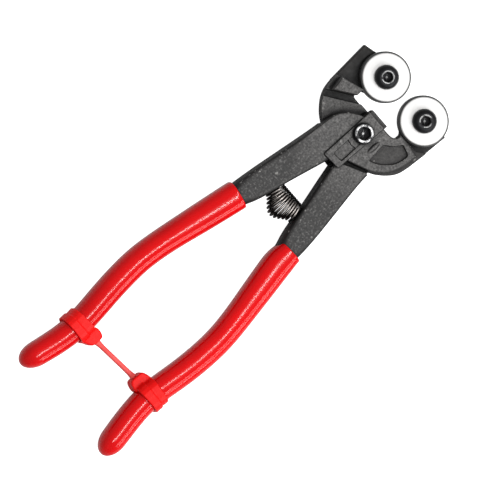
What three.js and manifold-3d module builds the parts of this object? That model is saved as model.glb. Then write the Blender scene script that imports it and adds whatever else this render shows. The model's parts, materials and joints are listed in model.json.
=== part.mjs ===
// Wheeled mosaic glass nippers, in millimetres, lying on their back.
// +X runs from the handles to the wheels, +Z is the front face, and the pivot
// axis is the Z axis. "front" and "rear" name the two forged levers by which
// half of the lap joint they hold. Every flat layer is given by its distance
// from the mid-plane, towards the front (+1) or towards the rear (-1).
import * as THREE from 'three';
import { mergeVertices } from 'three/addons/utils/BufferGeometryUtils.js';
import Module from 'manifold-3d';

const wasm = await Module();
wasm.setup();

const FRONT = 1;
const REAR = -1;
const MID_PLANE = 8;

// Layers of the forgings, as distances from the mid-plane.
const LAP_FACE = 0.15;
const ARM_HALF_HEIGHT = 6;
const ARM_OFFSET = 0.2;
const HEAD_FACE = ARM_HALF_HEIGHT + ARM_OFFSET;
const PLATE_FOOT = 6.1;
const PLATE_FACE = 7.1;
const PLATE_POCKET_FLOOR = PLATE_FACE - 0.75;
const CRESCENT_FLOOR = HEAD_FACE - 1.1;
const FLANGE_FACE = HEAD_FACE - 2;
const NECK_FACE = HEAD_FACE - 0.4;
const NECK_ROOT = 3;
const GROOVE_FLOOR = 2.6;
const EDGE = 0.6;
const SMALL_EDGE = 0.5;

// Wheels and the ears behind them.
const WHEEL_RADIUS = 11;
const WHEEL_THICKNESS = 5;
const WHEEL_BEVEL = 1.1;
const WHEEL_BEVEL_HEIGHT = 0.8;
const WHEEL_BORE = 3.08;
const UPPER_WHEEL = [24.0, 10.7];
const LOWER_WHEEL = [24.0, -14.1];
const EAR_FOOT = MID_PLANE - HEAD_FACE;
const EAR_TOP = 6;
const WHEEL_REST = EAR_TOP + 0.2;
const SCREW_HOLE = 3.05;

// Pivot bolt and nut.
const BOLT_SHOULDER = 3.2;
const BOLT_THREAD = 2.45;
const BOLT_HEAD = 4.6;
const BOLT_HEAD_RIM = 3.8;
const BOLT_HEAD_FOOT = MID_PLANE + PLATE_FACE + 0.15;
const BOLT_HEAD_TOP = 17.6;
const BOLT_SOCKET = 5;
const BOLT_SOCKET_DEPTH = 2.2;
const PIVOT_HOLE = BOLT_SHOULDER + 0.06;
const NUT_ACROSS_FLATS = 8;
const NUT_HEIGHT = 3.3;
const NUT_POCKET = 5;

// Handle stations: x, front centre y, rear centre y, grip half width.
const HANDLE = [
  [-176, 25.1, -28.3, 5.3],
  [-169, 23.7, -26.8, 5.3],
  [-159, 21.6, -24.7, 5.5],
  [-149, 20.3, -23.0, 5.5],
  [-139, 20.7, -22.7, 5.7],
  [-124, 22.6, -24.5, 5.8],
  [-109, 23.6, -25.1, 5.8],
  [-99, 22.9, -24.4, 5.8],
  [-88, 21.3, -22.5, 5.9],
  [-73, 18.6, -19.5, 6.3],
  [-55, 15.5, -15.9, 6.5],
];
const GRIP_TIP = { [FRONT]: -173.8, [REAR]: -172.9 };
const GRIP_MOUTH = -56.5;
const GRIP_TIP_ROUNDING = 8.5;
const TANG_TIP = -169.8;
const GRIP_WALL = 1.0;
const GRIP_FIT = 0.2;
const GRIP_HALF_HEIGHT = 7;
const GRIP_SQUARENESS = 3;

// Bare arm between grip and joint: x, front centre y, rear centre y, half width.
const BARE_ARM = [
  [-50, 14.3, -14.9, 5.9],
  [-37, 12.1, -12.5, 6.3],
  [-17, 8.4, -8.4, 7.2],
  [-7, 7.0, -7.2, 7.5],
];
const ARM_SQUARENESS = 8;

// Return spring between the arms.
const SPRING_TURNS = 10.5;
const SPRING_WIRE = 0.48;
const SPRING_END_DIAMETER = 8.5;
const SPRING_BULGE = 4.1;
const SPRING_STRAIGHT_SIDE = -39.0;
const SPRING_CENTRE_Y = 0.1;
const SPRING_HALF_SPAN = 5.5;
const SPRING_TILT = 13.5;
const STUD_X = -43.3;
const STUD_RADIUS = 2.4;
const STUD_TIP = 5.6;

// Keeper strap.
const STRAP_WALL = 0.85;
const STRAP_FIT = 0.15;
const STRAP_DOUBLE = 0.5;
const STRIP_TOP = [-143.2, 9.1];
const STRIP_FOOT = [-141.1, -12.0];
const STRAP_STRIP_WIDTH = 2.3;
const STRAP_STRIP_HALF_HEIGHT = 1.5;

const MATERIALS = {
  forging: { color: 0x454447, roughness: 0.55, metalness: 0.6 },
  grip: { color: 0xd3161a, roughness: 0.18, metalness: 0 },
  strap: { color: 0xe02a22, roughness: 0.4, metalness: 0 },
  carbide: { color: 0xe4e4e6, roughness: 0.3, metalness: 0.85 },
  blackSteel: { color: 0x222225, roughness: 0.35, metalness: 0.8 },
  springSteel: { color: 0x4b4542, roughness: 0.3, metalness: 0.85 },
};

// ---------------------------------------------------------------- solids

function toSolid(geometry) {
  const bare = new THREE.BufferGeometry();
  bare.setAttribute('position', geometry.getAttribute('position').clone());
  if (geometry.index) {
    bare.setIndex(geometry.index.clone());
  }
  const merged = mergeVertices(bare, 1e-4);
  const mesh = new wasm.Mesh({
    numProp: 3,
    vertProperties: new Float32Array(merged.attributes.position.array),
    triVerts: new Uint32Array(merged.index.array),
  });
  return new wasm.Manifold(mesh);
}

function toMesh(name, solid, material) {
  const mesh = solid.getMesh();
  const geometry = new THREE.BufferGeometry();
  const positions = new Float32Array(mesh.vertProperties);
  geometry.setAttribute('position', new THREE.BufferAttribute(positions, 3));
  geometry.setIndex(new THREE.BufferAttribute(new Uint32Array(mesh.triVerts), 1));
  geometry.computeVertexNormals();
  const result = new THREE.Mesh(geometry, new THREE.MeshStandardMaterial(MATERIALS[material]));
  result.name = name;
  return result;
}

// Outline through corners [x, y, radius]; a corner without a radius is sharp.
function outlineShape(corners) {
  const shape = new THREE.Shape();
  corners.forEach(([x, y, radius = 0], index) => {
    const corner = new THREE.Vector2(x, y);
    const before = corners.at(index - 1);
    const after = corners[(index + 1) % corners.length];
    const start = stepTowards(corner, before, radius);
    const end = stepTowards(corner, after, radius);
    if (index === 0) {
      shape.moveTo(start.x, start.y);
    } else {
      shape.lineTo(start.x, start.y);
    }
    if (radius > 0) {
      shape.quadraticCurveTo(x, y, end.x, end.y);
    }
  });
  shape.closePath();
  return shape;
}

function stepTowards(from, [x, y], distance) {
  const step = new THREE.Vector2(x, y).sub(from);
  return from.clone().add(step.setLength(Math.min(distance, step.length() * 0.48)));
}

// Upright slab with the outline given, between two heights, edges eased at both.
function slab(corners, low, high, edge = 0) {
  const geometry = new THREE.ExtrudeGeometry(outlineShape(corners), {
    depth: high - low - 2 * edge,
    bevelEnabled: edge > 0,
    bevelThickness: edge,
    bevelSize: edge,
    bevelOffset: -edge,
    bevelSegments: 2,
    curveSegments: 5,
  });
  return toSolid(geometry.translate(0, 0, low + edge));
}

// Slab on one side of the mid-plane: square at its near face, eased at its far.
function layer(corners, side, near, far, edge = 0) {
  const spare = edge * 2;
  const heights = [near - spare, far].map((distance) => MID_PLANE + side * distance);
  const whole = slab(corners, Math.min(...heights), Math.max(...heights), edge);
  if (edge === 0) {
    return whole;
  }
  const trim = new THREE.BoxGeometry(120, 120, 20);
  trim.translate(0, 0, MID_PLANE + side * (near - 10));
  return whole.subtract(toSolid(trim));
}

// Solid of revolution about an upright axis, from [radius, height] pairs.
function turned(profile, segments = 36) {
  const points = profile.map(([radius, height]) => new THREE.Vector2(radius, height));
  const geometry = new THREE.LatheGeometry(points, segments);
  geometry.rotateX(Math.PI / 2);
  return toSolid(geometry);
}

function cylinder(radius, low, high, segments = 36) {
  const geometry = new THREE.CylinderGeometry(radius, radius, high - low, segments);
  geometry.rotateX(Math.PI / 2).translate(0, 0, (low + high) / 2);
  return toSolid(geometry);
}

function hexPrism(acrossFlats, low, high) {
  return cylinder(acrossFlats / Math.sqrt(3), low, high, 6);
}

// Skin over a row of stations, each a squared ellipse across the path.
// A station is { x, y, z, halfWidth, halfHeight, squareness }.
function loft(stations, sides = 20) {
  const positions = [];
  stations.forEach((station, index) => {
    const before = stations[Math.max(index - 1, 0)];
    const after = stations[Math.min(index + 1, stations.length - 1)];
    const heading = Math.atan2(after.y - before.y, after.x - before.x);
    for (let side = 0; side < sides; side += 1) {
      const angle = (side / sides) * 2 * Math.PI;
      const across = squared(Math.cos(angle), station.squareness) * station.halfWidth;
      const up = squared(Math.sin(angle), station.squareness) * station.halfHeight;
      positions.push(station.x - Math.sin(heading) * across);
      positions.push(station.y + Math.cos(heading) * across);
      positions.push(station.z + up);
    }
  });
  const geometry = new THREE.BufferGeometry();
  geometry.setAttribute('position', new THREE.Float32BufferAttribute(positions, 3));
  geometry.setIndex(loftFaces(stations.length, sides));
  return toSolid(geometry);
}

function loftFaces(rings, sides) {
  const faces = [];
  for (let ring = 0; ring < rings - 1; ring += 1) {
    for (let side = 0; side < sides; side += 1) {
      const next = (side + 1) % sides;
      const low = ring * sides;
      const high = low + sides;
      faces.push(low + side, low + next, high + side);
      faces.push(low + next, high + next, high + side);
    }
  }
  const last = (rings - 1) * sides;
  for (let side = 1; side < sides - 1; side += 1) {
    faces.push(0, side + 1, side);
    faces.push(last, last + side, last + side + 1);
  }
  return faces;
}

function squared(value, squareness) {
  return Math.sign(value) * Math.abs(value) ** (2 / squareness);
}

// ---------------------------------------------------------------- handles

// Handle centre line and grip half width at a given x, along smooth curves.
function handleAt(side, x) {
  const centre = side === FRONT ? 1 : 2;
  const path = new THREE.SplineCurve(HANDLE.map((row) => new THREE.Vector2(row[0], row[centre])));
  const width = new THREE.SplineCurve(HANDLE.map((row) => new THREE.Vector2(row[0], row[3])));
  return { x, y: heightAt(path, x), halfWidth: heightAt(width, x) };
}

// y of a curve that runs steadily towards +X, found at x by bisection.
function heightAt(curve, x) {
  let low = 0;
  let high = 1;
  for (let turn = 0; turn < 24; turn += 1) {
    const middle = (low + high) / 2;
    if (curve.getPoint(middle).x < x) {
      low = middle;
    } else {
      high = middle;
    }
  }
  return curve.getPoint(low).y;
}

// Evenly spaced handle stations from one x to another, thicker by `growth`.
function handleStations(side, from, to, steps, growth) {
  const stations = [];
  for (let step = 0; step <= steps; step += 1) {
    const place = handleAt(side, from + ((to - from) * step) / steps);
    stations.push({
      x: place.x,
      y: place.y,
      z: MID_PLANE,
      halfWidth: place.halfWidth + growth,
      halfHeight: GRIP_HALF_HEIGHT + growth,
      squareness: GRIP_SQUARENESS,
    });
  }
  return stations;
}

// Handle stations behind a rounded tip, up to the grip's mouth.
function tippedStations(side, tip, growth) {
  const rounding = GRIP_TIP_ROUNDING + growth;
  const shoulder = tip + rounding;
  const first = handleStations(side, shoulder, shoulder, 1, growth)[0];
  const cap = [];
  const steps = 6;
  for (let step = 0; step < steps; step += 1) {
    const turn = (0.06 + (0.94 * step) / steps) * (Math.PI / 2);
    const x = shoulder - rounding * Math.cos(turn);
    cap.push({
      ...first,
      x,
      y: handleAt(side, x).y,
      halfWidth: first.halfWidth * Math.sin(turn),
      halfHeight: first.halfHeight * Math.sin(turn),
    });
  }
  return [...cap, ...handleStations(side, shoulder, GRIP_MOUTH, 24, growth)];
}

function grip(side) {
  const skin = loft(tippedStations(side, GRIP_TIP[side], 0), 24);
  const hollow = tippedStations(side, TANG_TIP - GRIP_FIT, -GRIP_WALL);
  const mouth = hollow.at(-1);
  const outside = { ...mouth, x: mouth.x + 2, y: mouth.y + 2 * handleSlope(side) };
  return skin.subtract(loft([...hollow, outside]));
}

// Sideways run of the handle per unit of x, just behind the grip's mouth.
function handleSlope(side) {
  return handleAt(side, GRIP_MOUTH).y - handleAt(side, GRIP_MOUTH - 1).y;
}

// Forged arm: the tang inside the grip, then the bare arm up to the joint.
function arm(side) {
  const centre = side === FRONT ? 1 : 2;
  const tang = tippedStations(side, TANG_TIP, -GRIP_WALL - GRIP_FIT);
  const last = tang.at(-1);
  const path = [last, ...BARE_ARM.map((row) => ({ x: row[0], y: row[centre] }))];
  const widths = [last.halfWidth, ...BARE_ARM.map((row) => row[3])];
  const curve = new THREE.SplineCurve(path.map(({ x, y }) => new THREE.Vector2(x, y)));
  const size = new THREE.SplineCurve(path.map(({ x }, i) => new THREE.Vector2(x, widths[i])));
  const bare = [];
  const steps = 14;
  for (let step = 1; step <= steps; step += 1) {
    const x = THREE.MathUtils.lerp(last.x, path.at(-1).x, step / steps);
    const blend = Math.min(step / 4, 1);
    bare.push({
      x,
      y: heightAt(curve, x),
      z: MID_PLANE + side * ARM_OFFSET * blend,
      halfWidth: heightAt(size, x),
      halfHeight: THREE.MathUtils.lerp(last.halfHeight, ARM_HALF_HEIGHT, blend),
      squareness: THREE.MathUtils.lerp(GRIP_SQUARENESS, ARM_SQUARENESS, blend),
    });
  }
  return loft([...tang, ...bare]);
}

// Short stud on the inner edge of an arm, which centres the spring's end coil.
function springStud(side) {
  const root = 11;
  const geometry = new THREE.CylinderGeometry(STUD_RADIUS, STUD_RADIUS, root - STUD_TIP, 24);
  const middle = SPRING_CENTRE_Y + side * (root + STUD_TIP) / 2;
  geometry.translate(STUD_X, middle, MID_PLANE);
  return toSolid(geometry);
}

// ---------------------------------------------------------------- joint

// The joint outlines are drawn for the front lever. `flip` turns one over for
// the rear lever, whose joint half is the same shape upside down.
function flip(corners) {
  return corners.map(([x, y, radius]) => [x, -y, radius]).reverse();
}

const THROAT_X = 8.2;
const JAW_END = 12.0;

// Lap half with the jaw's raised web, from the arm round to the throat.
const FRONT_LAP = [
  [-24, 16.0],
  [-9.6, 14.8, 3],
  [-2.4, 13.9, 3],
  [2.4, 10.2, 3],
  [5.4, 5.2],
  [THROAT_X, 5.2],
  [THROAT_X, -9.4, 2.4],
  [9.8, -11.4, 2],
  [JAW_END, -11.4],
  [JAW_END, -17.6],
  [JAW_END - 1, -22.6],
  [4.0, -22.3, 4],
  [-3.2, -19.8, 4],
  [-7.8, -14.8, 3],
  [-9.4, -11.4],
  [-12.4, -4.6],
  [-13.5, -1.6],
  [-16.5, 1.5],
  [-24, 4.2],
];

// Lower flange of the front jaw, showing as a narrow band outside the web.
const FRONT_FLANGE = [
  [-8.8, -13.8],
  [-6.6, -17.6, 3],
  [-2.2, -22.0, 4],
  [2.4, -24.0, 5],
  [15.6, -25.0],
  [JAW_END + 0.8, -21.0],
  [JAW_END - 0.3, -12],
  [-6, -8],
];

// Lap half of the rear lever, with the root of its jaw.
const REAR_LAP = [
  [-24, -16.0],
  [-24, -4.2],
  [-16.5, -1.5],
  [-13.5, 1.6],
  [-12.4, 4.6],
  [-8.8, 13.8],
  [-6.6, 17.6, 3],
  [-2.2, 22.0, 4],
  [2.4, 24.4, 4],
  [9.2, 25.2],
  [10.0, 23.4],
  [12.2, 15.6],
  [12.2, 13.6],
  [THROAT_X + 0.7, 13.5, 2],
  [THROAT_X + 0.7, 3.7],
  [11.1, 3.7],
  [11.1, -5.7],
  [5.6, -5.5],
  [2.4, -10.2, 3],
  [-2.4, -13.9, 3],
  [-9.6, -14.8, 3],
];

// Block at the neck of each jaw, between the lap half and the ear.
const NECK = [
  [2.8, 22.4],
  [9.2, 13.5],
  [12.8, 13.7],
  [9.6, 23.6],
];
const FRONT_NECK_SETBACK = 0.9;

// Relief groove along the foot of the neck block.
const REAR_GROOVE = [
  [-2.4, 24.4],
  [9.1, 8.4],
  [11.4, 10.6],
  [1.3, 24.6],
];

// Recess left in each arm for the other lever's lap half to turn in.
const ARM_RECESS = [
  [-26, -0.4],
  [-19.3, -0.5],
  [-17.0, -0.75],
  [-15.0, -3.0],
  [-14.4, -4.8],
  [-10.0, -13.4],
  [-9.4, -15.6],
  [-9.4, -30],
  [30, -30],
  [30, 30],
  [-26, 30],
];

const PLATE = [
  [-18.4, 4.9, 1],
  [-17.8, -3.8, 1],
  [THROAT_X + 0.1, -4.4, 0.8],
  [THROAT_X + 0.1, 4.9, 0.8],
];

const PLATE_EDGE = 0.35;
const STEP_RADIUS = 6.9;
const STEP_HEIGHT = 0.5;

const PLATE_POCKET = [
  [-15.1, 2.4, 0.8],
  [-14.8, -2.5, 0.8],
  [-3.0, -2.5],
  [-3.0, 2.4],
];

const CRESCENT_POCKET = [
  [-5.6, -10.3, 0.6],
  [3.7, -9.3, 1.2],
  [5.6, -12.2, 1.6],
  [10.1, -15.2, 0.8],
  [8.7, -20.2, 1.2],
  [2.4, -19.6, 4],
  [-3.4, -14.8, 4],
];

function jawRidge(side) {
  const ridge = new THREE.SphereGeometry(1, 20, 10);
  ridge.scale(4.2, 1.3, 1.1);
  ridge.translate(-0.4, -side * 7.6, MID_PLANE + side * (HEAD_FACE - 0.5));
  return toSolid(ridge);
}

// Raised plate under the bolt head, its pocket, and the rounded step beside it.
function pivotPlate(side) {
  const place = side === FRONT ? (corners) => corners : flip;
  const ringLow = MID_PLANE + side * PLATE_POCKET_FLOOR;
  const ringHigh = ringLow + side * STEP_HEIGHT;
  const ring = cylinder(STEP_RADIUS, Math.min(ringLow, ringHigh), Math.max(ringLow, ringHigh));
  const plate = layer(place(PLATE), side, PLATE_FOOT, PLATE_FACE, PLATE_EDGE);
  const pocket = layer(place(PLATE_POCKET), side, PLATE_POCKET_FLOOR, PLATE_FACE + 1);
  const step = ring.intersect(layer(place(PLATE_POCKET), side, 0, PLATE_FACE + 1));
  return { plate, pocket, step };
}

function jawHalf(side, lap) {
  const place = side === FRONT ? (corners) => corners : flip;
  const { plate, pocket, step } = pivotPlate(side);
  const crescent = layer(place(CRESCENT_POCKET), side, CRESCENT_FLOOR, HEAD_FACE + 1);
  return layer(lap, side, LAP_FACE, HEAD_FACE, EDGE)
    .subtract(crescent)
    .add(jawRidge(side))
    .add(plate)
    .subtract(pocket)
    .add(step);
}

function armWithRecess(side) {
  const corners = side === FRONT ? flip(ARM_RECESS) : ARM_RECESS;
  const recess = layer(corners, -side, -LAP_FACE, HEAD_FACE + 5);
  return arm(side).subtract(recess);
}

// ---------------------------------------------------------------- levers

// Ear behind the upper wheel: its square corner shows beyond the wheel.
const UPPER_EAR = [
  [6.5, 25.0],
  [6.5, 16],
  [12.4, 13.7],
  [14.8, 8.6, 3],
  [20.5, 1.8, 6],
  [30.5, 3.6, 6],
  [32.4, 13.0, 5],
  [28.7, 20.4, 2],
  [27.2, 26.3],
];

// Ear behind the lower wheel: it ends in a round pad that the wheel hides.
const LOWER_EAR = [
  [6.5, -25.2],
  [6.5, -14],
  [JAW_END, -13],
  [14.4, -11.6, 2],
  [16.4, -8.0, 3],
  [24.8, -4.3, 6],
  [32.2, -9.5, 6],
  [30.5, -19.5, 4],
  [27.2, -26.2],
];

function screwHole([x, y]) {
  return cylinder(SCREW_HOLE, EAR_FOOT - 1, EAR_TOP + 1).translate([x, y, 0]);
}

function boltCuts() {
  const boltHole = cylinder(PIVOT_HOLE, -1, 20);
  const nutPocket = cylinder(NUT_POCKET, -1, NUT_HEIGHT + 0.3);
  return boltHole.add(nutPocket);
}

function frontLever() {
  const flange = layer(FRONT_FLANGE, FRONT, LAP_FACE, FLANGE_FACE, SMALL_EDGE);
  const neck = slab(flip(NECK), EAR_FOOT, MID_PLANE + NECK_ROOT, SMALL_EDGE);
  const ear = slab(LOWER_EAR, EAR_FOOT, EAR_TOP, SMALL_EDGE);
  return armWithRecess(FRONT)
    .add(springStud(FRONT))
    .add(jawHalf(FRONT, FRONT_LAP))
    .add(flange)
    .add(neck.translate([-FRONT_NECK_SETBACK, 0, 0]))
    .add(ear)
    .subtract(boltCuts())
    .subtract(screwHole(LOWER_WHEEL));
}

function rearLever() {
  const neck = slab(NECK, MID_PLANE - NECK_ROOT, MID_PLANE + NECK_FACE, SMALL_EDGE);
  const ear = slab(UPPER_EAR, EAR_FOOT, EAR_TOP, SMALL_EDGE);
  const groove = slab(REAR_GROOVE, MID_PLANE - GROOVE_FLOOR, MID_PLANE + 1);
  return armWithRecess(REAR)
    .add(springStud(REAR))
    .add(jawHalf(REAR, REAR_LAP))
    .add(ear)
    .subtract(groove)
    .add(neck)
    .subtract(boltCuts())
    .subtract(screwHole(UPPER_WHEEL));
}

// ---------------------------------------------------------------- small parts

function wheel([x, y]) {
  const low = WHEEL_REST;
  const high = WHEEL_REST + WHEEL_THICKNESS;
  const face = WHEEL_RADIUS - WHEEL_BEVEL;
  const profile = [
    [WHEEL_BORE, low],
    [face, low],
    [WHEEL_RADIUS, low + WHEEL_BEVEL_HEIGHT],
    [WHEEL_RADIUS, high - WHEEL_BEVEL_HEIGHT],
    [face, high],
    [WHEEL_BORE, high],
    [WHEEL_BORE, low],
  ];
  return turned(profile, 72).translate([x, y, 0]);
}

// Button-head screw: a domed head over a plain shank, with a hexagon socket.
function wheelScrew([x, y]) {
  const seat = WHEEL_REST + WHEEL_THICKNESS + 0.15;
  const headHeight = 3.3;
  const headRadius = 5.25;
  const topRadius = 2.9;
  const shankRadius = 3;
  const dome = [];
  const steps = 5;
  for (let step = 0; step <= steps; step += 1) {
    const turn = (step / steps) * (Math.PI / 2);
    const radius = topRadius + (headRadius - topRadius) * Math.cos(turn);
    dome.push([radius, seat + 0.5 + (headHeight - 0.5) * Math.sin(turn)]);
  }
  const profile = [
    [0, EAR_FOOT + 0.2],
    [shankRadius - 0.4, EAR_FOOT + 0.2],
    [shankRadius, EAR_FOOT + 0.6],
    [shankRadius, seat],
    [headRadius, seat],
    ...dome,
    [0, seat + headHeight],
  ];
  const socket = hexPrism(4, seat + headHeight - 2, seat + headHeight + 1);
  return turned(profile).subtract(socket).translate([x, y, 0]);
}

// Shouldered bolt: its low tapered head stands on the plate, its thread takes the nut.
function pivotBolt() {
  const profile = [
    [0, 0],
    [BOLT_THREAD - 0.4, 0],
    [BOLT_THREAD, 0.4],
    [BOLT_THREAD, NUT_HEIGHT + 0.4],
    [BOLT_SHOULDER, NUT_HEIGHT + 0.4],
    [BOLT_SHOULDER, BOLT_HEAD_FOOT],
    [BOLT_HEAD, BOLT_HEAD_FOOT],
    [BOLT_HEAD, BOLT_HEAD_FOOT + 0.5],
    [BOLT_HEAD_RIM + 0.3, BOLT_HEAD_TOP - 0.4],
    [BOLT_HEAD_RIM, BOLT_HEAD_TOP],
    [0, BOLT_HEAD_TOP],
  ];
  const socket = hexPrism(BOLT_SOCKET, BOLT_HEAD_TOP - BOLT_SOCKET_DEPTH, BOLT_HEAD_TOP + 1);
  return turned(profile).subtract(socket);
}

function pivotNut() {
  const body = hexPrism(NUT_ACROSS_FLATS, 0, NUT_HEIGHT);
  const corners = turned([
    [0, -0.1],
    [NUT_ACROSS_FLATS / 2, -0.1],
    [NUT_ACROSS_FLATS / 2 + 0.8, 0.5],
    [NUT_ACROSS_FLATS / 2 + 0.8, NUT_HEIGHT],
    [0, NUT_HEIGHT],
  ]);
  const hole = cylinder(BOLT_THREAD + 0.05, -1, NUT_HEIGHT + 1);
  return body.intersect(corners).subtract(hole);
}

// Coil whose far side bulges out between the splayed arms.
class SpringPath extends THREE.Curve {
  getPoint(t, target = new THREE.Vector3()) {
    const tilt = THREE.MathUtils.degToRad(SPRING_TILT) * (2 * t - 1);
    const bulge = Math.sin(Math.PI * t) ** 2;
    const radius = (SPRING_END_DIAMETER + SPRING_BULGE * bulge) / 2;
    const turn = SPRING_TURNS * 2 * Math.PI * t;
    const outward = radius * (1 - Math.cos(turn));
    return target.set(
      SPRING_STRAIGHT_SIDE - Math.cos(tilt) * outward,
      SPRING_CENTRE_Y + SPRING_HALF_SPAN * (1 - 2 * t) - Math.sin(tilt) * outward,
      MID_PLANE + radius * Math.sin(turn),
    );
  }
}

function wireSection(radius, sides = 6) {
  const section = new THREE.Shape();
  for (let side = 0; side < sides; side += 1) {
    const angle = (side / sides) * 2 * Math.PI;
    const point = [radius * Math.cos(angle), radius * Math.sin(angle)];
    if (side === 0) {
      section.moveTo(...point);
    } else {
      section.lineTo(...point);
    }
  }
  section.closePath();
  return section;
}

function returnSpring() {
  const geometry = new THREE.ExtrudeGeometry(wireSection(SPRING_WIRE), {
    steps: 168,
    extrudePath: new SpringPath(),
    bevelEnabled: false,
  });
  return toSolid(geometry);
}

// ---------------------------------------------------------------- strap

const STRAP_LOOPS = {
  [FRONT]: {
    from: -148.6,
    to: -141.0,
    lug: [
      [-149.0, 17.8],
      [-148.4, 13.6, 2],
      [-146.2, 9.6, 1.4],
      [-140.3, 9.6, 1.4],
      [-139.3, 13.0, 1.6],
      [-140.8, 17.8],
    ],
  },
  [REAR]: {
    from: -144.3,
    to: -136.7,
    lug: [
      [-144.4, -19.7],
      [-136.6, -19.7],
      [-136.2, -15.6, 1.6],
      [-137.6, -12.1, 1.4],
      [-144.2, -12.1, 1.4],
      [-145.4, -15.8, 1.6],
    ],
  },
};

// A loop is a band round the grip, doubled along one edge, and a lug for the strip.
function strapLoop(side) {
  const { from, to, lug } = STRAP_LOOPS[side];
  const growth = STRAP_FIT + STRAP_WALL;
  const band = loft(handleStations(side, from, to, 4, growth), 24);
  const double = loft(handleStations(side, from, (from + to) / 2, 3, growth + STRAP_DOUBLE), 24);
  const block = slab(lug, MID_PLANE - 4.5, MID_PLANE + 4.5, 0.6);
  const passage = loft(handleStations(side, from - 4, to + 4, 8, STRAP_FIT), 24);
  return band.add(double).add(block).subtract(passage);
}

function strapStrip() {
  const half = STRAP_STRIP_WIDTH / 2;
  const corners = [
    [STRIP_TOP[0] - half, STRIP_TOP[1]],
    [STRIP_FOOT[0] - half, STRIP_FOOT[1]],
    [STRIP_FOOT[0] + half, STRIP_FOOT[1]],
    [STRIP_TOP[0] + half, STRIP_TOP[1]],
  ];
  const low = MID_PLANE - STRAP_STRIP_HALF_HEIGHT;
  const high = MID_PLANE + STRAP_STRIP_HALF_HEIGHT;
  return slab(corners, low, high, 0.3);
}

// ---------------------------------------------------------------- assembly

function build() {
  const group = new THREE.Group();
  group.name = 'mosaic_glass_nippers';
  group.add(
    toMesh('rear_lever', rearLever(), 'forging'),
    toMesh('front_lever', frontLever(), 'forging'),
    toMesh('pivot_bolt', pivotBolt(), 'blackSteel'),
    toMesh('pivot_nut', pivotNut(), 'blackSteel'),
    toMesh('upper_wheel', wheel(UPPER_WHEEL), 'carbide'),
    toMesh('lower_wheel', wheel(LOWER_WHEEL), 'carbide'),
    toMesh('upper_wheel_screw', wheelScrew(UPPER_WHEEL), 'blackSteel'),
    toMesh('lower_wheel_screw', wheelScrew(LOWER_WHEEL), 'blackSteel'),
    toMesh('return_spring', returnSpring(), 'springSteel'),
    toMesh('front_grip', grip(FRONT), 'grip'),
    toMesh('rear_grip', grip(REAR), 'grip'),
    toMesh('strap_loop_front', strapLoop(FRONT), 'strap'),
    toMesh('strap_loop_rear', strapLoop(REAR), 'strap'),
    toMesh('strap_strip', strapStrip(), 'strap'),
  );
  return group;
}

export default build();
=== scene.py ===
"""Looks for the wheeled mosaic glass nippers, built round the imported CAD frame.

Everything is in metres, in the CAD frame: the tool lies on its back on the floor,
+X runs from the handles to the wheels, and the pivot turns about the Z axis.
"""

import json
import math

import bmesh
import bpy
import numpy as np
from mathutils import Matrix, Vector


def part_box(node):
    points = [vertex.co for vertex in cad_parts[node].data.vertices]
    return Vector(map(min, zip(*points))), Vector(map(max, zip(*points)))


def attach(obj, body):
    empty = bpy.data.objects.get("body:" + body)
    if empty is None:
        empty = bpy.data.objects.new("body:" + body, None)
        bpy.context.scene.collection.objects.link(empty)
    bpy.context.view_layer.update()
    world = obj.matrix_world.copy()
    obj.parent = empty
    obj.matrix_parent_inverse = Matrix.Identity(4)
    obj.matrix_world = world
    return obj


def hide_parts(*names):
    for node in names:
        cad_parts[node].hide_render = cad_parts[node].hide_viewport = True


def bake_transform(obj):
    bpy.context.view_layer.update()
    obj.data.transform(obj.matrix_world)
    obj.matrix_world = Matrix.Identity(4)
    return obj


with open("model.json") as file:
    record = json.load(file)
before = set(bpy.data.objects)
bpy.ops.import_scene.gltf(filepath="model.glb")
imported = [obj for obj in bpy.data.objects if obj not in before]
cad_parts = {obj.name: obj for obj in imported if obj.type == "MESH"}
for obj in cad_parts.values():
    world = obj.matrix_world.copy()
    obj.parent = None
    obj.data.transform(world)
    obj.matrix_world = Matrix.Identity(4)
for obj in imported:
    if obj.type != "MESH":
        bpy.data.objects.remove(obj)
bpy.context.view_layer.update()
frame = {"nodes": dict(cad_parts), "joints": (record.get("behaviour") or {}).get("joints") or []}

MM = 0.001
JOINTS = {joint["name"]: joint for joint in frame["joints"]}
PIVOT = Vector(JOINTS["pivot"]["pos_m"])
MID_PLANE = PIVOT.z


# ------------------------------------------------------------------ meshes


def new_object(name, vertices, faces, material):
    mesh = bpy.data.meshes.new(name)
    mesh.from_pydata([tuple(v) for v in vertices], [], faces)
    mesh.update()
    obj = bpy.data.objects.new(name, mesh)
    bpy.context.scene.collection.objects.link(obj)
    tidy_normals(obj)
    shade_smooth(mesh)
    mesh.materials.append(material)
    return obj


def shade_smooth(mesh):
    for polygon in mesh.polygons:
        polygon.use_smooth = True


def tidy_normals(obj):
    work = bmesh.new()
    work.from_mesh(obj.data)
    bmesh.ops.remove_doubles(work, verts=work.verts, dist=1e-7)
    bmesh.ops.recalc_face_normals(work, faces=work.faces)
    work.to_mesh(obj.data)
    work.free()


def ring_faces(rings, sides, closed=False):
    """Quads between rings of points. Open ends are closed with one flat face each."""
    faces = []
    last = rings if closed else rings - 1
    for ring in range(last):
        low = ring * sides
        high = ((ring + 1) % rings) * sides
        for side in range(sides):
            after = (side + 1) % sides
            faces.append((low + side, low + after, high + after, high + side))
    if not closed:
        faces.append(tuple(reversed(range(sides))))
        faces.append(tuple(range((rings - 1) * sides, rings * sides)))
    return faces


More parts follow.
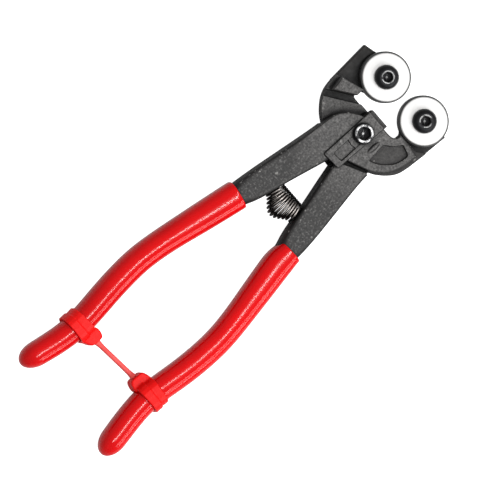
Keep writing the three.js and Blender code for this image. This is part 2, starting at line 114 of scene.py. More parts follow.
def rounded_profile(corners, steps=4):
    """Profile through (radius, height, rounding) corners, each rounded by an arc."""
    points = []
    for index, (r, z, rounding) in enumerate(corners):
        here = Vector((r, z))
        if rounding == 0 or index in (0, len(corners) - 1):
            points.append((r, z))
            continue
        before = Vector(corners[index - 1][:2])
        after = Vector(corners[index + 1][:2])
        start = here + (before - here).normalized() * rounding
        end = here + (after - here).normalized() * rounding
        for step in range(steps + 1):
            t = step / steps
            point = start * (1 - t) ** 2 + here * 2 * t * (1 - t) + end * t**2
            points.append((point.x, point.y))
    return points


def hexagon_radius(corner_radius, angle):
    """Distance from the middle of a hexagon to its edge, in one direction."""
    sixth = math.pi / 3
    return corner_radius * math.cos(sixth / 2) / math.cos(angle % sixth - sixth / 2)


def spin(name, profile, centre, material, segments=96, closed=False):
    """Surface of revolution. A profile point is (radius, height, hexagonal share)."""
    vertices = []
    for radius, height, share in profile:
        for segment in range(segments):
            angle = 2 * math.pi * segment / segments
            flat = hexagon_radius(radius, angle)
            r = radius + (flat - radius) * share
            x = centre.x + r * math.cos(angle)
            y = centre.y + r * math.sin(angle)
            vertices.append((x, y, height))
    faces = ring_faces(len(profile), segments, closed)
    return new_object(name, vertices, faces, material)


def softened_copy(node, name, material, voxel, smoothing, keep):
    """Copy of a CAD node with its edges eased, as a forging or moulding has them.

    `keep` is the share of the faces that is left at the end.
    """
    source = frame["nodes"][node]
    copy = bpy.data.objects.new(name, source.data.copy())
    bpy.context.scene.collection.objects.link(copy)
    copy.data.materials.clear()
    copy.data.materials.append(material)
    weld = copy.modifiers.new("weld", "WELD")
    weld.merge_threshold = 1e-6
    remesh = copy.modifiers.new("remesh", "REMESH")
    remesh.mode = "VOXEL"
    remesh.voxel_size = voxel
    remesh.use_smooth_shade = True
    smooth = copy.modifiers.new("smooth", "SMOOTH")
    smooth.factor = 0.5
    smooth.iterations = smoothing
    decimate = copy.modifiers.new("decimate", "DECIMATE")
    decimate.ratio = keep
    apply_modifiers(copy)
    shade_smooth(copy.data)
    return copy


def apply_modifiers(obj):
    bpy.context.view_layer.update()
    graph = bpy.context.evaluated_depsgraph_get()
    result = bpy.data.meshes.new_from_object(obj.evaluated_get(graph))
    obj.modifiers.clear()
    obj.data = result


# ------------------------------------------------------------------ materials


class Nodes:
    """Builds one node material. Positions and normals are those of the object."""

    def __init__(self, name):
        self.material = bpy.data.materials.new(name)
        self.material.use_nodes = True
        self.tree = self.material.node_tree
        self.shader = self.tree.nodes["Principled BSDF"]
        coordinates = self.tree.nodes.new("ShaderNodeTexCoord")
        self.place = coordinates.outputs["Object"]
        self.normal = coordinates.outputs["Normal"]

    def noise(self, scale, detail=4.0, roughness=0.5, stretch=None):
        node = self.tree.nodes.new("ShaderNodeTexNoise")
        node.inputs["Scale"].default_value = scale
        node.inputs["Detail"].default_value = detail
        node.inputs["Roughness"].default_value = roughness
        self.join(self.stretched(stretch), node.inputs["Vector"])
        return node.outputs["Fac"]

    def stretched(self, stretch):
        if stretch is None:
            return self.place
        node = self.tree.nodes.new("ShaderNodeMapping")
        node.inputs["Scale"].default_value = stretch
        self.join(self.place, node.inputs["Vector"])
        return node.outputs["Vector"]

    def ramp(self, value, stops):
        node = self.tree.nodes.new("ShaderNodeValToRGB")
        elements = node.color_ramp.elements
        while len(elements) < len(stops):
            elements.new(0.5)
        for element, (position, colour) in zip(elements, stops):
            element.position = position
            element.color = (*colour, 1)
        self.join(value, node.inputs["Fac"])
        return node.outputs["Color"]

    def levels(self, value, low, high, out_low=0.0, out_high=1.0):
        node = self.tree.nodes.new("ShaderNodeMapRange")
        node.inputs["From Min"].default_value = low
        node.inputs["From Max"].default_value = high
        node.inputs["To Min"].default_value = out_low
        node.inputs["To Max"].default_value = out_high
        self.join(value, node.inputs["Value"])
        return node.outputs["Result"]

    def mix(self, share, first, second):
        node = self.tree.nodes.new("ShaderNodeMix")
        node.data_type = "RGBA"
        self.join_or_set(share, node.inputs[0])
        self.join_or_set(first, node.inputs[6])
        self.join_or_set(second, node.inputs[7])
        return node.outputs[2]

    def math(self, operation, first, second=0.0):
        node = self.tree.nodes.new("ShaderNodeMath")
        node.operation = operation
        self.join_or_set(first, node.inputs[0])
        self.join_or_set(second, node.inputs[1])
        return node.outputs[0]

    def bump(self, height, strength, distance, under=None):
        node = self.tree.nodes.new("ShaderNodeBump")
        node.inputs["Strength"].default_value = strength
        node.inputs["Distance"].default_value = distance
        self.join(height, node.inputs["Height"])
        if under is not None:
            self.join(under, node.inputs["Normal"])
        return node.outputs["Normal"]

    def facing_up(self, low, high):
        """Bright on faces that look straight forward or straight back."""
        parts = self.tree.nodes.new("ShaderNodeSeparateXYZ")
        self.join(self.normal, parts.inputs[0])
        return self.levels(self.math("ABSOLUTE", parts.outputs["Z"]), low, high)

    def off_plane(self, low, high):
        """Bright where the surface is far from the mid-plane, low to high metres."""
        parts = self.tree.nodes.new("ShaderNodeSeparateXYZ")
        self.join(self.place, parts.inputs[0])
        lift = self.math("SUBTRACT", parts.outputs["Z"], MID_PLANE)
        return self.levels(self.math("ABSOLUTE", lift), low, high)

    def reach(self, centre):
        """Distance from an upright axis through a point."""
        across = self.vector_math("SUBTRACT", self.place, (centre.x, centre.y, 0))
        flat = self.vector_math("MULTIPLY", across.outputs[0], (1, 1, 0))
        return self.vector_math("LENGTH", flat.outputs[0]).outputs["Value"]

    def vector_math(self, operation, first, second=None):
        node = self.tree.nodes.new("ShaderNodeVectorMath")
        node.operation = operation
        self.join(first, node.inputs[0])
        if second is not None:
            node.inputs[1].default_value = second
        return node

    def band(self, value, inner, outer, soft):
        """Bright between two values, with soft shoulders."""
        rise = self.levels(value, inner - soft, inner)
        fall = self.levels(value, outer, outer + soft, 1.0, 0.0)
        return self.math("MULTIPLY", rise, fall)

    def open_to_light(self, distance):
        """Dark in corners and crevices: ambient occlusion, used as painted shade."""
        node = self.tree.nodes.new("ShaderNodeAmbientOcclusion")
        node.samples = 8
        node.inputs["Distance"].default_value = distance
        return node.outputs["AO"]

    def edges(self, low, high):
        """Bright where the surface is convex, where edges wear and where painted edge highlights
        go.
        """
        node = self.tree.nodes.new("ShaderNodeNewGeometry")
        return self.levels(node.outputs["Pointiness"], low, high)

    def join(self, output, socket):
        self.tree.links.new(output, socket)

    def join_or_set(self, value, socket):
        if isinstance(value, bpy.types.NodeSocket):
            self.join(value, socket)
        elif isinstance(value, tuple):
            socket.default_value = (*value, 1)
        else:
            socket.default_value = value

    def finish(self, colour, roughness, normal=None, **constants):
        self.join(colour, self.shader.inputs["Base Color"])
        self.join_or_set(roughness, self.shader.inputs["Roughness"])
        if normal is not None:
            self.join(normal, self.shader.inputs["Normal"])
        for key, value in constants.items():
            self.shader.inputs[key.replace("_", " ")].default_value = value
        return self.material


# Heights from the mid-plane between which each kind of face sets in.
LAP_FACES = (0.8 * MM, 1.4 * MM)
SUNK_FACES = (3.8 * MM, 4.8 * MM)
OUTER_FACES = (5.2 * MM, 5.7 * MM)

WORN_EDGE_HIGHLIGHT = (0.3, 0.29, 0.28)
CREVICE_SHADE_BLACK = (0.004, 0.004, 0.004)


def fettled_steel(make, mottle, grain):
    """Grey faces with light and dark grain, darker along the arms than at the joint."""
    steel = make.ramp(mottle, [(0.3, (0.05, 0.049, 0.048)), (0.7, (0.085, 0.082, 0.08))])
    along_arm = make.levels(make.reach(PIVOT), 14 * MM, 34 * MM, 0.0, 0.75)
    steel = make.mix(along_arm, steel, (0.012, 0.012, 0.012))
    dark_grain = make.math("MULTIPLY", make.levels(grain, 0.5, 0.3), 0.8)
    steel = make.mix(dark_grain, steel, (0.014, 0.014, 0.014))
    bright_grain = make.math("MULTIPLY", make.levels(grain, 0.54, 0.74), 0.5)
    return make.mix(bright_grain, steel, (0.17, 0.165, 0.16))


def fettled_and_lit_share(make, flat):
    """Share of grey on flat faces: full on outer and lap ones, 0.3 on sunk ones. Partly a fettled
    finish, partly painted shade that leaves the walls dark.
    """
    sunk = make.math("MULTIPLY", make.off_plane(*SUNK_FACES), 0.3)
    outer = make.math("MAXIMUM", sunk, make.off_plane(*OUTER_FACES))
    lap = make.math("SUBTRACT", 1.0, make.off_plane(*LAP_FACES))
    return make.math("MULTIPLY", flat, make.math("MAXIMUM", outer, lap))


def forged_black():
    """Forging left black from the fire, with fettled grey faces and worn edges. It also carries
    painted light: walls darker than flat faces as painted shade, light edges that are partly
    painted highlight, and crevices painted black as shade.
    """
    make = Nodes("forged_black")
    mottle = make.noise(70, 5, 0.6)
    grain = make.noise(1150, 2, 0.6)
    pores = make.noise(520, 4, 0.55)
    # Flat faces get lighter scale and grey steel while walls stay black: partly a fettled finish,
    # partly painted shade.
    flat = make.facing_up(0.88, 0.985)
    scale = make.ramp(mottle, [(0.3, (0.007, 0.007, 0.007)), (0.7, (0.013, 0.012, 0.012))])
    scale = make.mix(make.math("MULTIPLY", flat, 0.55), scale, (0.018, 0.017, 0.016))
    colour = make.mix(fettled_and_lit_share(make, flat), scale, fettled_steel(make, mottle, grain))
    # Convex edges lighter: wear, and a painted edge highlight.
    wear_and_edge_highlight = make.math("MULTIPLY", make.edges(0.52, 0.57), make.levels(pores, 0.35, 0.6))
    colour = make.mix(make.math("MULTIPLY", wear_and_edge_highlight, 0.6), colour, WORN_EDGE_HIGHLIGHT)
    # Painted shade: corners and crevices darkened to black from ambient occlusion.
    clear = make.levels(make.open_to_light(6 * MM), 0.62, 0.84)
    colour = make.mix(clear, CREVICE_SHADE_BLACK, colour)
    roughness = make.levels(pores, 0.3, 0.7, 0.5, 0.66)
    normal = make.bump(grain, 0.7, 0.05 * MM, make.bump(pores, 0.5, 0.12 * MM))
    return make.finish(colour, roughness, normal, Metallic=0.15, Specular_IOR_Level=0.25)


def painted_socket_highlight(make, centre, ring):
    """Painted highlight on an uneven ring round a socket's mouth, and a painted glint at its
    drilled bottom.
    """
    socket_highlight = make.band(make.reach(centre), ring[0], ring[1], 0.12 * MM)
    uneven = make.levels(make.noise(330, 3, 0.5), 0.44, 0.56)
    socket_highlight = make.math("MULTIPLY", socket_highlight, uneven)
    drill_point_glint = make.levels(make.reach(centre), 0.35 * MM, 0.6 * MM, 0.8, 0.0)
    socket_highlight = make.math("MAXIMUM", socket_highlight, drill_point_glint)
    return make.math("MULTIPLY", socket_highlight, make.facing_up(0.3, 0.5))


def black_oxide(name, centre=None, ring=None, highlight_level=0.5):
    """Oil-blacked steel, with worn edges that also carry a painted highlight. `ring` is the band
    of radii round a socket that carries a painted highlight, with a painted glint at the socket's
    bottom; the last argument sets their brightness.
    """
    make = Nodes(name)
    smudge = make.noise(300, 4, 0.6)
    fine = make.noise(2500, 2, 0.5)
    colour = make.ramp(smudge, [(0.3, (0.005, 0.005, 0.006)), (0.75, (0.012, 0.012, 0.013))])
    # Convex edges lighter: wear, and a painted edge highlight.
    wear_and_edge_highlight = make.math("MULTIPLY", make.edges(0.54, 0.62), make.levels(smudge, 0.3, 0.6))
    colour = make.mix(make.math("MULTIPLY", wear_and_edge_highlight, 0.6), colour, (0.3, 0.3, 0.3))
    # Painted highlight ring round the socket's mouth, and a painted glint at its bottom.
    if ring is not None:
        colour = make.mix(painted_socket_highlight(make, centre, ring), colour, (highlight_level, highlight_level, highlight_level))
    roughness = make.levels(smudge, 0.3, 0.7, 0.3, 0.45)
    normal = make.bump(fine, 0.15, 0.02 * MM)
    return make.finish(colour, roughness, normal, Metallic=0.4, Specular_IOR_Level=0.15)


def turning_rings(make, reach):
    """Fine concentric grooves, as noise along the radius only."""
    rings = make.tree.nodes.new("ShaderNodeTexNoise")
    rings.noise_dimensions = "1D"
    rings.inputs["Scale"].default_value = 3800
    rings.inputs["Detail"].default_value = 3
    make.join(reach, rings.inputs["W"])
    return rings.outputs["Fac"]


def ground_carbide(name, centre, radius):
    """Ground carbide: pale faces with fine turning rings, a painted shade line where the bevel
    starts, and the outer bevel and rim painted nearly black as shade.
    """
    make = Nodes(name)
    reach = make.reach(centre)
    rings = turning_rings(make, reach)
    cloud = make.noise(160, 4, 0.6)
    tint = make.ramp(cloud, [(0.3, (0.53, 0.525, 0.52)), (0.7, (0.58, 0.575, 0.565))])
    ringed = make.levels(rings, 0.3, 0.7, 0.0, 0.12)
    colour = make.mix(ringed, tint, (0.6, 0.6, 0.6))
    # Painted shade: a faint grey line where the bevel starts.
    shoulder = make.band(reach, radius - 1.15 * MM, radius - 1.1 * MM, 0.06 * MM)
    colour = make.mix(make.math("MULTIPLY", shoulder, 0.25), colour, (0.3, 0.3, 0.3))
    # Painted shade: the outer bevel and the rim nearly black.
    rim = make.levels(reach, radius - 1.0 * MM, radius - 0.6 * MM)
    colour = make.mix(rim, colour, (0.03, 0.03, 0.03))
    roughness = make.levels(rings, 0.3, 0.7, 0.35, 0.45)
    normal = make.bump(rings, 0.2, 0.02 * MM)
    return make.finish(colour, roughness, normal, Metallic=0.0)


def spring_steel():
    """Drawn wire, painted black as shade except on the crests that face straight up or down, which
    keep a patchy steel colour.
    """
    make = Nodes("spring_steel")
    smudge = make.noise(420, 4, 0.6)
    drawn = make.noise(1800, 2, 0.5)
    base = make.ramp(smudge, [(0.3, (0.2, 0.18, 0.165)), (0.7, (0.36, 0.33, 0.31))])
    patchy = make.levels(smudge, 0.2, 0.6, 0.5, 1.0)
    # Painted shade: the coils' flanks go black, and their crests keep the steel colour.
    unshaded_crest = make.math("MULTIPLY", make.facing_up(0.7, 0.95), patchy)
    base = make.mix(unshaded_crest, (0.006, 0.006, 0.006), base)
    roughness = make.levels(smudge, 0.3, 0.7, 0.3, 0.42)
    normal = make.bump(drawn, 0.2, 0.02 * MM)
    return make.finish(base, roughness, normal, Metallic=0.7, Specular_IOR_Level=0.2)


def dipped_vinyl():
    """Glossy red dipped vinyl, a little cloudy, with an uneven gloss."""
    make = Nodes("dipped_vinyl")
    cloud = make.noise(45, 4, 0.55)
    ripple = make.noise(110, 1, 0.4, stretch=(0.35, 1, 1))
    base = make.ramp(cloud, [(0.3, (0.42, 0.001, 0.002)), (0.7, (0.52, 0.002, 0.003))])
    roughness = make.levels(ripple, 0.3, 0.7, 0.12, 0.15)
    return make.finish(
        base,
        roughness,
        Specular_IOR_Level=0.18,
        Subsurface_Weight=0.05,
        Subsurface_Scale=0.001,
    )


def moulded_strap(name, low, high):
    """Satin plastic of the keeper strap, between a low and a high colour."""
    make = Nodes(name)
    cloud = make.noise(90, 4, 0.55)
    skin = make.noise(1400, 3, 0.55)
    base = make.ramp(cloud, [(0.3, low), (0.7, high)])
    roughness = make.levels(skin, 0.3, 0.7, 0.36, 0.5)
    normal = make.bump(skin, 0.25, 0.04 * MM)
    return make.finish(
        base,
        roughness,
        normal,
        Specular_IOR_Level=0.12,
        Subsurface_Weight=0.08,
        Subsurface_Scale=0.0015,
    )


FORGED = forged_black()
OXIDE = black_oxide("black_oxide")
SPRING = spring_steel()
VINYL = dipped_vinyl()
STRAP = moulded_strap("strap_plastic", (0.55, 0.002, 0.002), (0.64, 0.005, 0.004))
STRIP = moulded_strap("strap_strip_plastic", (0.56, 0.055, 0.05), (0.64, 0.085, 0.08))


# ------------------------------------------------------------------ levers


def lever(node, body):
    name = node + "_forging"
    piece = softened_copy(node, name, FORGED, voxel=0.2 * MM, smoothing=3, keep=0.4)
    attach(piece, body)
    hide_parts(node)


# ------------------------------------------------------------------ grips


GRIP_SIDES = 64
GRIP_HALF_HEIGHT = 7 * MM
GRIP_SQUARENESS = 2.6
MOUTH_SQUARENESS = 3.0
MOUTH_SHARE = 0.35
GRIP_TIP_LENGTH = 8.5 * MM
GRIP_TIP_STEPS = 10
GRIP_TIP_START = 0.03
RING_PITCH = 1 * MM
RINGS_AVERAGED = 9
LIP_START = 2 * MM
LIP_WALL = 0.85 * MM
LIP_STEPS = 8


def slice_node(node, x):
    """Lowest and highest y of a CAD node where the plane at x cuts it."""
    mesh = frame["nodes"][node].data
    points = np.array([v.co for v in mesh.vertices])
    edges = np.array([e.vertices for e in mesh.edges])
    first, second = points[edges[:, 0]], points[edges[:, 1]]
    crossing = (first[:, 0] - x) * (second[:, 0] - x) < 0
    first, second = first[crossing], second[crossing]
    share = (x - first[:, 0]) / (second[:, 0] - first[:, 0])
    y = first[:, 1] + share * (second[:, 1] - first[:, 1])
    return y.min(), y.max()


def smoothed(values, reach):
    """Running average that keeps straight ends straight."""
    padded = np.concatenate(
        [
            2 * values[0] - values[reach:0:-1],
            values,
            2 * values[-1] - values[-2 : -reach - 2 : -1],
        ]
    )
    kernel = np.hanning(2 * reach + 3)[1:-1]
    return np.convolve(padded, kernel / kernel.sum(), mode="valid")


def grip_path(node):
    """Centre line, half width and heading of a grip, read from its CAD solid."""
    low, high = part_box(node)
    xs = np.arange(low.x + GRIP_TIP_LENGTH, high.x - LIP_START, RING_PITCH)
    spans = np.array([slice_node(node, x) for x in xs])
    centres = smoothed(spans.mean(axis=1), RINGS_AVERAGED)
    headings = np.arctan(np.gradient(centres, xs))
    halves = smoothed((spans[:, 1] - spans[:, 0]) / 2, RINGS_AVERAGED) * np.cos(headings)
    return xs, centres, halves, headings


def section(angle, half_width, half_height, squareness):
    """Point of a superellipse: 2 is an ellipse, and more is squarer."""
    across = math.cos(angle)
    up = math.sin(angle)
    power = 2 / squareness
    return (
        math.copysign(abs(across) ** power, across) * half_width,
        math.copysign(abs(up) ** power, up) * half_height,
    )


def grip_ring(place, heading, half_width, half_height, squareness):
    """Cross-section of a grip, square to its heading."""
    side = Vector((-math.sin(heading), math.cos(heading), 0))
    ring = []
    for step in range(GRIP_SIDES):
        angle = 2 * math.pi * step / GRIP_SIDES
        across, up = section(angle, half_width, half_height, squareness)
        ring.append(Vector(place) + side * across + Vector((0, 0, up)))
    return ring


def grip_tip(tip_x, shoulder_x, shoulder_y, half, heading):
    """Rings that round off the closed end, from the tip to the shoulder."""
    rings = []
    for step in range(GRIP_TIP_STEPS):
        share = GRIP_TIP_START + (1 - GRIP_TIP_START) * step / GRIP_TIP_STEPS
        turn = share * math.pi / 2
        x = shoulder_x - (shoulder_x - tip_x) * math.cos(turn)
        y = shoulder_y + math.tan(heading) * (x - shoulder_x)
        shrink = math.sin(turn)
        size = (half * shrink, GRIP_HALF_HEIGHT * shrink)
        rings.append(grip_ring((x, y, MID_PLANE), heading, *size, GRIP_SQUARENESS))
    return rings


def grip(node, body):
    low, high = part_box(node)
    xs, centres, halves, headings = grip_path(node)
    tip_heading = math.atan2(centres[1] - centres[0], xs[1] - xs[0])
    rings = grip_tip(low.x, xs[0], centres[0], halves[0], tip_heading)
    for x, y, half, heading in zip(xs, centres, halves, headings):
        to_mouth = (high.x - x) / (high.x - low.x)
        near_mouth = max(0.0, 1 - to_mouth / MOUTH_SHARE)
        squareness = GRIP_SQUARENESS + (MOUTH_SQUARENESS - GRIP_SQUARENESS) * near_mouth
        rings.append(grip_ring((x, y, MID_PLANE), heading, half, GRIP_HALF_HEIGHT, squareness))
    rings += grip_mouth(xs[-1], centres[-1], halves[-1], headings[-1])
    vertices = [point for ring in rings for point in ring]
    faces = ring_faces(len(rings), GRIP_SIDES)
    piece = new_object(node + "_skin", vertices, faces, VINYL)
    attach(piece, body)
    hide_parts(node)


def grip_mouth(x, y, half, heading):
    """Rounded lip at the mouth, then the inside wall, turning in to the metal."""
    steps = []
    for step in range(1, LIP_STEPS + 1):
        turn = math.pi * step / LIP_STEPS
        forward = 1.2 * MM + LIP_WALL / 2 * math.sin(turn)
        inset = LIP_WALL / 2 * (1 - math.cos(turn))
        steps.append((forward, inset))
    for depth in (0.0, 3 * MM, 8 * MM):
        steps.append((1.0 * MM - depth, LIP_WALL))
    rings = []
    for forward, inset in steps:
        place = (x + forward * math.cos(heading), y + forward * math.sin(heading), MID_PLANE)
        size = (half - inset, GRIP_HALF_HEIGHT - inset)
        rings.append(grip_ring(place, heading, *size, MOUTH_SQUARENESS))
    return rings


# ------------------------------------------------------------------ wheels and fastenings


WHEEL_BEVEL = 1.1 * MM
WHEEL_BEVEL_HEIGHT = 0.8 * MM
WHEEL_BORE = 3.08 * MM
BORE_ROUNDING = 0.15 * MM
RIM_ROUNDING = 0.12 * MM

# Sockets are given by their corner radius, and AXIS is the small radius that
# closes a profile at its middle.
AXIS = 0.05 * MM
SCREW_HEAD_HEIGHT = 3.3 * MM
SCREW_RIM = 0.5 * MM
SCREW_TOP = 2.9 * MM
SCREW_SOCKET = 2.31 * MM
SCREW_SOCKET_DEPTH = 2.0 * MM
SCREW_SHANK = 3 * MM
DOME_STEPS = 12

BOLT_HEAD_HEIGHT = 2.35 * MM
BOLT_SOCKET = 2.89 * MM
BOLT_SOCKET_DEPTH = 2.2 * MM
BOLT_SHOULDER = 3.2 * MM
BOLT_SHOULDER_END = 3.7 * MM
BOLT_THREAD = 2.45 * MM


def joint_centre(name):
    return Vector(JOINTS[name]["pos_m"])


def wheel(node, joint, body):
    """Plain disc with a bore and a bevel round both faces."""
    centre = joint_centre(joint)
    low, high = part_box(node)
    radius = (high.x - low.x) / 2
    middle = (low.z + high.z) / 2
    face = radius - WHEEL_BEVEL
    corners = [
        (WHEEL_BORE, middle, 0),
        (WHEEL_BORE, low.z, BORE_ROUNDING),
        (face, low.z, RIM_ROUNDING),
        (radius, low.z + WHEEL_BEVEL_HEIGHT, RIM_ROUNDING),
        (radius, high.z - WHEEL_BEVEL_HEIGHT, RIM_ROUNDING),
        (face, high.z, RIM_ROUNDING),
        (WHEEL_BORE, high.z, BORE_ROUNDING),
        (WHEEL_BORE, middle, 0),
    ]
    profile = [(r, z, 0) for r, z in rounded_profile(corners)[:-1]]
    material = ground_carbide(node + "_carbide", centre, radius)
    piece = spin(node + "_disc", profile, centre, material, segments=160, closed=True)
    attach(piece, body)
    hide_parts(node)


def drilled_bottom(socket, floor):
    """The point that the drill leaves below a hexagon socket."""
    return [
        (AXIS, floor - 0.7 * MM, 0),
        (socket * 0.55, floor - 0.35 * MM, 0.5),
    ]


def screw_dome(top, head, foot, height):
    """Quarter ellipse from the flat top of a button head down to its rim."""
    dome = []
    for step in range(1, DOME_STEPS + 1):
        turn = (1 - step / DOME_STEPS) * math.pi / 2
        r = top + (head - top) * math.cos(turn)
        z = foot + height * math.sin(turn)
        dome.append((r, z, 0))
    return dome


def wheel_screw(node, joint, body):
    """Button-head screw with a hexagon socket, from the socket's bottom outwards."""
    centre = joint_centre(joint)
    low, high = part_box(node)
    head = (high.x - low.x) / 2
    seat = high.z - SCREW_HEAD_HEIGHT
    floor = high.z - SCREW_SOCKET_DEPTH
    socket = SCREW_SOCKET
    top = SCREW_TOP
    shank = SCREW_SHANK
    profile = drilled_bottom(socket, floor)
    profile += [
        (socket - 0.15 * MM, floor - 0.02 * MM, 1),
        (socket, floor + 0.1 * MM, 1),
        (socket, high.z - 0.12 * MM, 1),
        (socket + 0.1 * MM, high.z, 1),
        (top - 0.1 * MM, high.z, 0),
        (top, high.z - 0.02 * MM, 0),
    ]
    profile += screw_dome(top, head, seat + SCREW_RIM, SCREW_HEAD_HEIGHT - SCREW_RIM)
    profile += [
        (head, seat + 0.1 * MM, 0),
        (head - 0.1 * MM, seat, 0),
        (shank, seat, 0),
        (shank, seat - 0.1 * MM, 0),
        (shank, low.z + 0.5 * MM, 0),
        (shank - 0.45 * MM, low.z, 0),
        (AXIS, low.z, 0),
    ]
    # Band of radii for the painted highlight round the socket's mouth.
    ring = (socket + 0.04 * MM, socket + 0.44 * MM)
    finish = black_oxide(node + "_oxide", centre, ring, highlight_level=0.22)
    piece = spin(node + "_body", profile, centre, finish)
    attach(piece, body)
    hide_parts(node)


def pivot_bolt():
    """Shoulder bolt with a low tapered head and a hexagon socket."""
    low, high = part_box("pivot_bolt")
    top = high.z
    head = (high.x - low.x) / 2
    rim = head - 0.8 * MM
    foot = top - BOLT_HEAD_HEIGHT
    floor = top - BOLT_SOCKET_DEPTH
    socket = BOLT_SOCKET
    profile = drilled_bottom(socket, floor)
    profile += [
        (socket - 0.1 * MM, floor, 1),
        (socket, floor + 0.1 * MM, 1),
        (socket, top - 0.15 * MM, 1),
        (socket + 0.12 * MM, top, 0.9),
        (rim - 0.15 * MM, top, 0),
        (rim, top - 0.06 * MM, 0),
        (rim + 0.3 * MM, top - 0.45 * MM, 0),
        (head - 0.05 * MM, foot + 0.6 * MM, 0),
        (head, foot + 0.4 * MM, 0),
        (head, foot + 0.1 * MM, 0),
        (head - 0.1 * MM, foot, 0),
        (BOLT_SHOULDER, foot, 0),
        (BOLT_SHOULDER, BOLT_SHOULDER_END, 0),
        (BOLT_THREAD, BOLT_SHOULDER_END, 0),
        (BOLT_THREAD, 0.45 * MM, 0),
        (BOLT_THREAD - 0.1 * MM, 0.3 * MM, 0),
        (BOLT_THREAD - 0.4 * MM, low.z, 0),
        (AXIS, low.z, 0),
    ]
    # Band of radii for the painted highlight round the socket's mouth.
    ring = (socket + 0.25 * MM, rim + 0.1 * MM)
    finish = black_oxide("pivot_bolt_oxide", PIVOT, ring)
    piece = spin("pivot_bolt_body", profile, PIVOT, finish)
    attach(piece, "rear_half")
    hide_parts("pivot_bolt")


def pivot_nut():
    name = "pivot_nut_body"
    piece = softened_copy("pivot_nut", name, OXIDE, voxel=0.1 * MM, smoothing=3, keep=0.4)
    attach(piece, "rear_half")
    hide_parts("pivot_nut")


# ------------------------------------------------------------------ spring


SPRING_TURNS = 10.5
SPRING_END_DIAMETER = 8.5 * MM
SPRING_BULGE = 4.1 * MM
SPRING_END_TILT = math.radians(13.5)
SPRING_CENTRE_Y = 0.1 * MM
SPRING_HALF_SPAN = 5.5 * MM
WIRE_RADIUS = 0.48 * MM
WIRE_SIDES = 12
STEPS_PER_TURN = 36


def spring_point(t, straight_side):
    """Point on the wire's middle, at share `t` of the way from stud to stud."""
    tilt = SPRING_END_TILT * (2 * t - 1)
    bulge = math.sin(math.pi * t) ** 2
    radius = (SPRING_END_DIAMETER + SPRING_BULGE * bulge) / 2
    turn = SPRING_TURNS * 2 * math.pi * t
    outward = radius * (1 - math.cos(turn))
    return Vector(
        (
            straight_side - math.cos(tilt) * outward,
            SPRING_CENTRE_Y + SPRING_HALF_SPAN * (1 - 2 * t) - math.sin(tilt) * outward,
            MID_PLANE + radius * math.sin(turn),
        )
    )


def return_spring():
    """Barrel-shaped coil that bulges away from the joint."""
    low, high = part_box("return_spring")
    straight_side = high.x - WIRE_RADIUS
    steps = int(SPRING_TURNS * STEPS_PER_TURN)
    path = [spring_point(step / steps, straight_side) for step in range(steps + 1)]
    vertices = tube_vertices(path, WIRE_RADIUS, WIRE_SIDES)
    faces = ring_faces(len(path), WIRE_SIDES)
    piece = new_object("return_spring_wire", vertices, faces, SPRING)
    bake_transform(piece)
    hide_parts("return_spring")


def tube_vertices(path, radius, sides):
    """Rings of points round a path, carried along it without twisting."""
    vertices = []
    normal = Vector((0, 0, 1))
    for index, point in enumerate(path):
        before = path[max(index - 1, 0)]
        after = path[min(index + 1, len(path) - 1)]
        along = (after - before).normalized()
        normal = (normal - along * normal.dot(along)).normalized()
        across = along.cross(normal)
        for side in range(sides):
            angle = 2 * math.pi * side / sides
            vertices.append(point + (normal * math.cos(angle) + across * math.sin(angle)) * radius)
    return vertices


# ------------------------------------------------------------------ keeper strap


STRIP_INSET = 1.15 * MM
STRIP_OVERLAP = 0.5 * MM
STRIP_HALF_WIDTH = 1.1 * MM
STRIP_HALF_HEIGHT = 1.4 * MM
STRIP_SQUARENESS = 2.8
STRIP_SIDES = 20
STRIP_STEPS = 30


def strap_loop(node, body):
    name = node + "_moulding"
    piece = softened_copy(node, name, STRAP, voxel=0.25 * MM, smoothing=8, keep=0.6)
    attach(piece, body)
    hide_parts(node)


def strap_strip():
    """Slanted strip between the loops, a little thicker where it runs into each."""
    low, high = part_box("strap_strip")
    start = Vector((high.x - STRIP_INSET, low.y - STRIP_OVERLAP, MID_PLANE))
    end = Vector((low.x + STRIP_INSET, high.y + STRIP_OVERLAP, MID_PLANE))
    vertices = []
    for step in range(STRIP_STEPS + 1):
        t = step / STRIP_STEPS
        point = start.lerp(end, t)
        flare = 1 + 0.5 * (2 * t - 1) ** 8
        size = (STRIP_HALF_WIDTH * flare, STRIP_HALF_HEIGHT * flare)
        for side in range(STRIP_SIDES):
            angle = 2 * math.pi * side / STRIP_SIDES
            x, z = section(angle, *size, STRIP_SQUARENESS)
            vertices.append(point + Vector((x, 0, z)))
    faces = ring_faces(STRIP_STEPS + 1, STRIP_SIDES)
    piece = new_object("strap_strip_moulding", vertices, faces, STRIP)
    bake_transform(piece)
    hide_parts("strap_strip")


# ------------------------------------------------------------------ stage


FLOOR_HALF_SIZE = 3.0
LIGHT_TARGET = Vector((-0.07, -0.005, 0.01))


def floor():
    """Pale card. To camera rays it also glows white, so no shadow shows on it."""
    half = FLOOR_HALF_SIZE
    corners = [(-half, -half, 0), (half, -half, 0), (half, half, 0), (-half, half, 0)]
    make = Nodes("floor_white")
    cloud = make.noise(2, 2, 0.5)
    colour = make.ramp(cloud, [(0.3, (0.5, 0.5, 0.5)), (0.7, (0.55, 0.55, 0.55))])
    rays = make.tree.nodes.new("ShaderNodeLightPath")
    glow = make.mix(rays.outputs["Is Camera Ray"], (0, 0, 0), (1, 1, 1))
    make.join(glow, make.shader.inputs["Emission Color"])
    finish = make.finish(colour, 0.6, Emission_Strength=1.0)
    piece = new_object("floor", corners, [(0, 1, 2, 3)], finish)


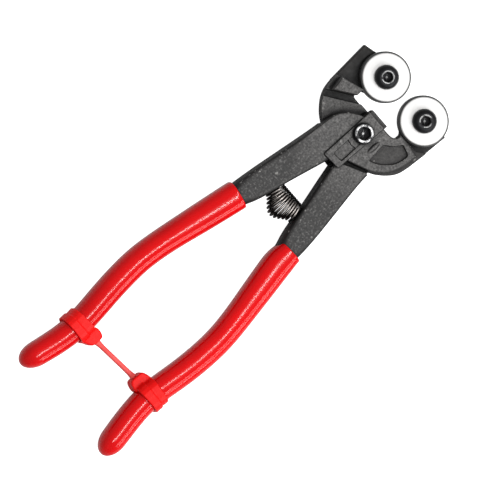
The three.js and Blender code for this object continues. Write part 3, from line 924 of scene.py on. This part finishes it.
def area_light(name, direction, distance, size, power):
    """Soft box at a distance from the tool, turned to face it."""
    data = bpy.data.lights.new(name, "AREA")
    data.shape = "RECTANGLE"
    data.size, data.size_y = size
    data.energy = power
    obj = bpy.data.objects.new(name, data)
    bpy.context.scene.collection.objects.link(obj)
    towards = Vector(direction).normalized()
    along = Vector((1, 0, 0))
    along = (along - towards * along.dot(towards)).normalized()
    across = towards.cross(along)
    rotation = Matrix((along, across, towards)).transposed().to_4x4()
    obj.matrix_world = Matrix.Translation(LIGHT_TARGET + towards * distance) @ rotation


def lights():
    """Even white surroundings, two long strips for gloss, and a soft key from the side."""
    world = bpy.data.worlds.new("studio")
    bpy.context.scene.world = world
    world.use_nodes = True
    background = world.node_tree.nodes["Background"]
    background.inputs["Color"].default_value = (1, 1, 1, 1)
    background.inputs["Strength"].default_value = 0.55
    area_light("strip_high", (0.16, -0.13, 0.97), 1.0, (1.2, 0.04), 8)
    area_light("strip_low", (0.16, -0.66, 0.74), 1.0, (1.2, 0.2), 6)
    area_light("key", (0.1, -0.9, 0.5), 1.3, (0.9, 0.3), 8)


# The picture's right and up directions on the floor, how far the view leans from
# straight down, and the width of floor that fills the frame.
VIEW_RIGHT = Vector((0.749, -0.6626, 0))
VIEW_UP = Vector((0.6626, 0.749, 0))
VIEW_LEAN = math.radians(12.6)
VIEW_TARGET = Vector((-0.06922, -0.00432, 0.015))
FRAME_WIDTH = 0.2107
CAMERA_DISTANCE = 6.0
SENSOR_WIDTH = 36


def camera():
    """Long lens over the tool, leaning a little to the picture's left."""
    back = Vector((0, 0, math.cos(VIEW_LEAN))) - VIEW_RIGHT * math.sin(VIEW_LEAN)
    right = back.cross(VIEW_UP) * -1
    data = bpy.data.cameras.new("camera")
    data.sensor_width = SENSOR_WIDTH
    data.lens = SENSOR_WIDTH * CAMERA_DISTANCE / FRAME_WIDTH
    data.clip_end = 20
    obj = bpy.data.objects.new("camera", data)
    bpy.context.scene.collection.objects.link(obj)
    place = VIEW_TARGET + back * CAMERA_DISTANCE
    rotation = Matrix((right, VIEW_UP, back)).transposed().to_4x4()
    obj.matrix_world = Matrix.Translation(place) @ rotation
    bpy.context.scene.camera = obj


# ------------------------------------------------------------------ assembly


lever("rear_lever", "rear_half")
lever("front_lever", "front_half")
grip("rear_grip", "rear_half")
grip("front_grip", "front_half")
wheel("upper_wheel", "upper_wheel_turn", "upper_wheel")
wheel("lower_wheel", "lower_wheel_turn", "lower_wheel")
wheel_screw("upper_wheel_screw", "upper_wheel_turn", "rear_half")
wheel_screw("lower_wheel_screw", "lower_wheel_turn", "front_half")
pivot_bolt()
pivot_nut()
return_spring()
strap_loop("strap_loop_front", "front_half")
strap_loop("strap_loop_rear", "rear_half")
strap_strip()
floor()
lights()
camera()
bpy.context.scene.view_settings.view_transform = "Standard"
